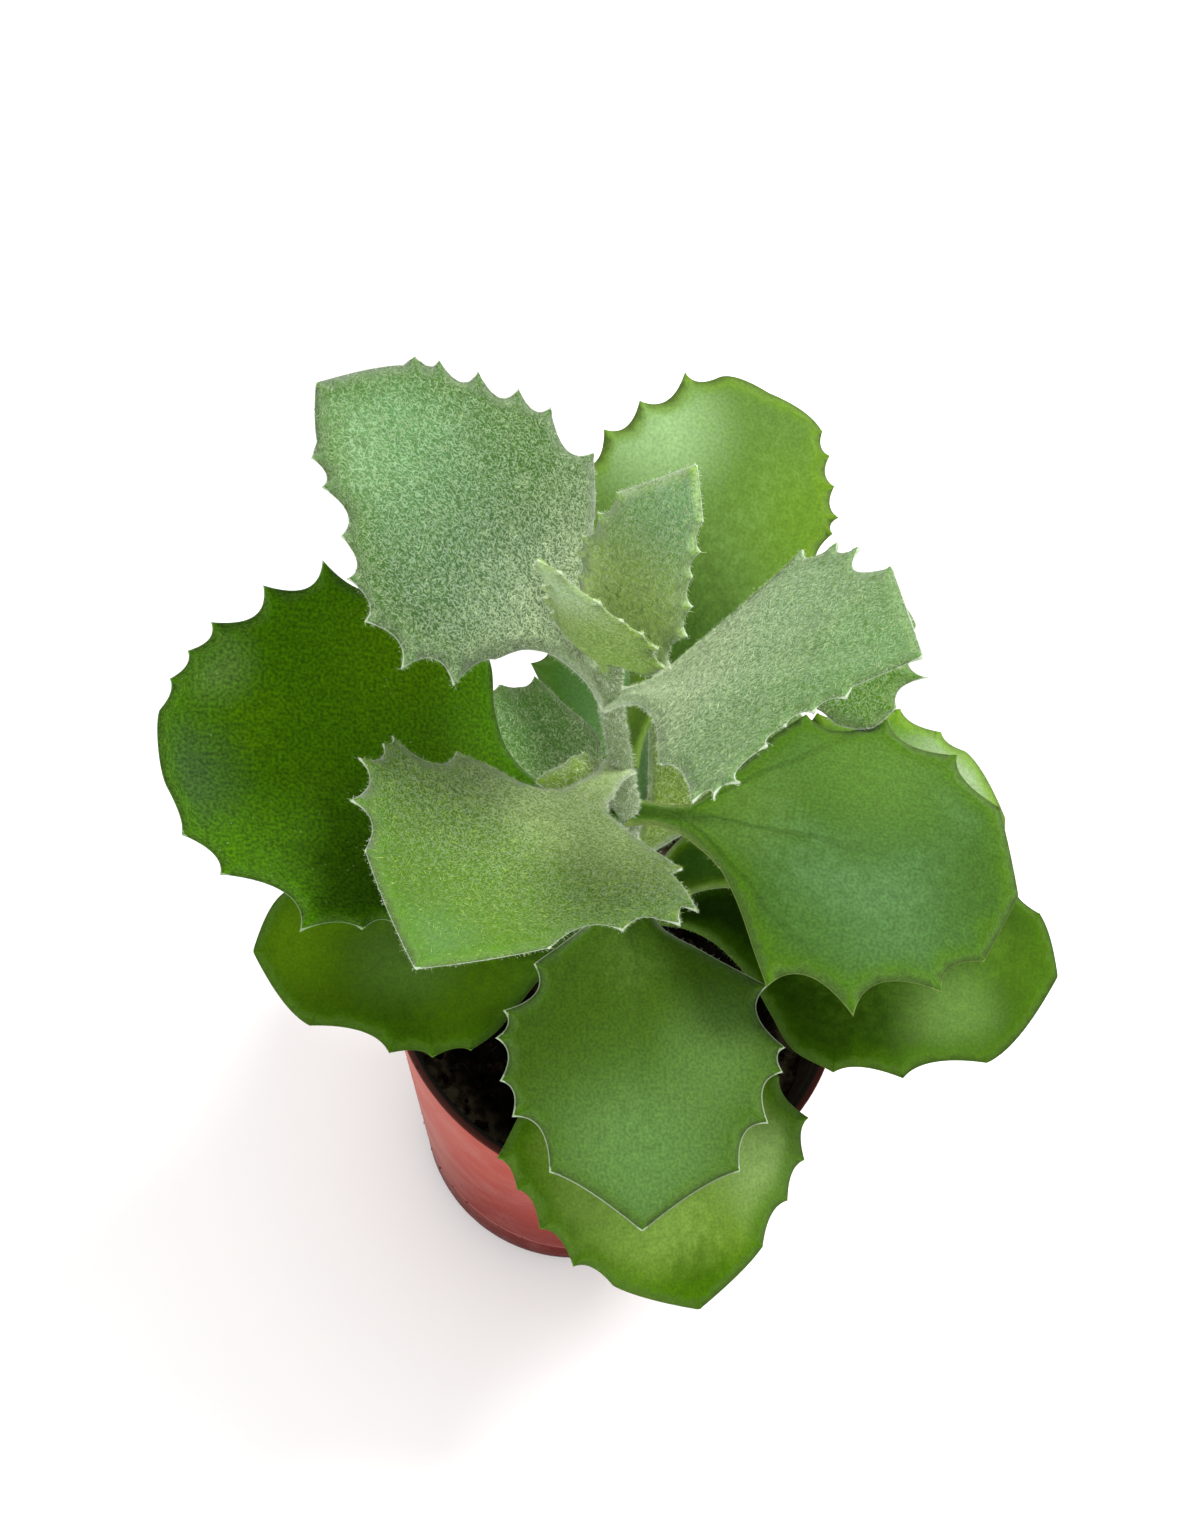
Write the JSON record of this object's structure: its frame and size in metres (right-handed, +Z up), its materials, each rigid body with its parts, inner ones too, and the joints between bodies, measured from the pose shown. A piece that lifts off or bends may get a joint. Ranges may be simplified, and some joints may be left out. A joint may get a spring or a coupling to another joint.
{
  "type": "potted succulent plant",
  "caption": "Young upright succulent with broad toothed leaves on short stalks around one stem, felted near the top, standing in a tapered round plastic nursery pot filled with dark peat.",
  "frame": {"origin": "centre of the pot's flat underside", "axes": "+Z up along the pot's axis, +X to the plant's right, +Y away from the viewer"},
  "size_m": [0.1105, 0.0895, 0.1523],
  "materials": {
    "potPlastic": "thin moulded terracotta pink plastic",
    "peat": "dark crumbly peat",
    "feltStem": "grey green, covered in white felt",
    "oldLeaf": "fleshy, nearly smooth leaf with a pale bloom",
    "feltLeaf": "fleshy leaf covered in short white felt"
  },
  "bodies": {
    "root": {"pot": "potPlastic", "soil": "peat", "stem": "feltStem", "leaf_upper_left": "feltLeaf", "leaf_upper_right": "feltLeaf", "leaf_tall_back": "oldLeaf", "leaf_front_left": "feltLeaf", "leaf_wide_left": "oldLeaf", "leaf_wide_right": "oldLeaf", "leaf_mid_front": "oldLeaf", "leaf_mid_back": "oldLeaf", "leaf_inner_right": "feltLeaf", "leaf_inner_left": "feltLeaf", "leaf_low_left": "oldLeaf", "leaf_low_right": "oldLeaf", "leaf_side_right": "oldLeaf", "leaf_low_front": "oldLeaf", "leaf_low_back": "oldLeaf", "leaf_young_back": "feltLeaf", "leaf_young_front": "feltLeaf", "leaf_axil": "feltLeaf"}
  },
  "joints": []
}
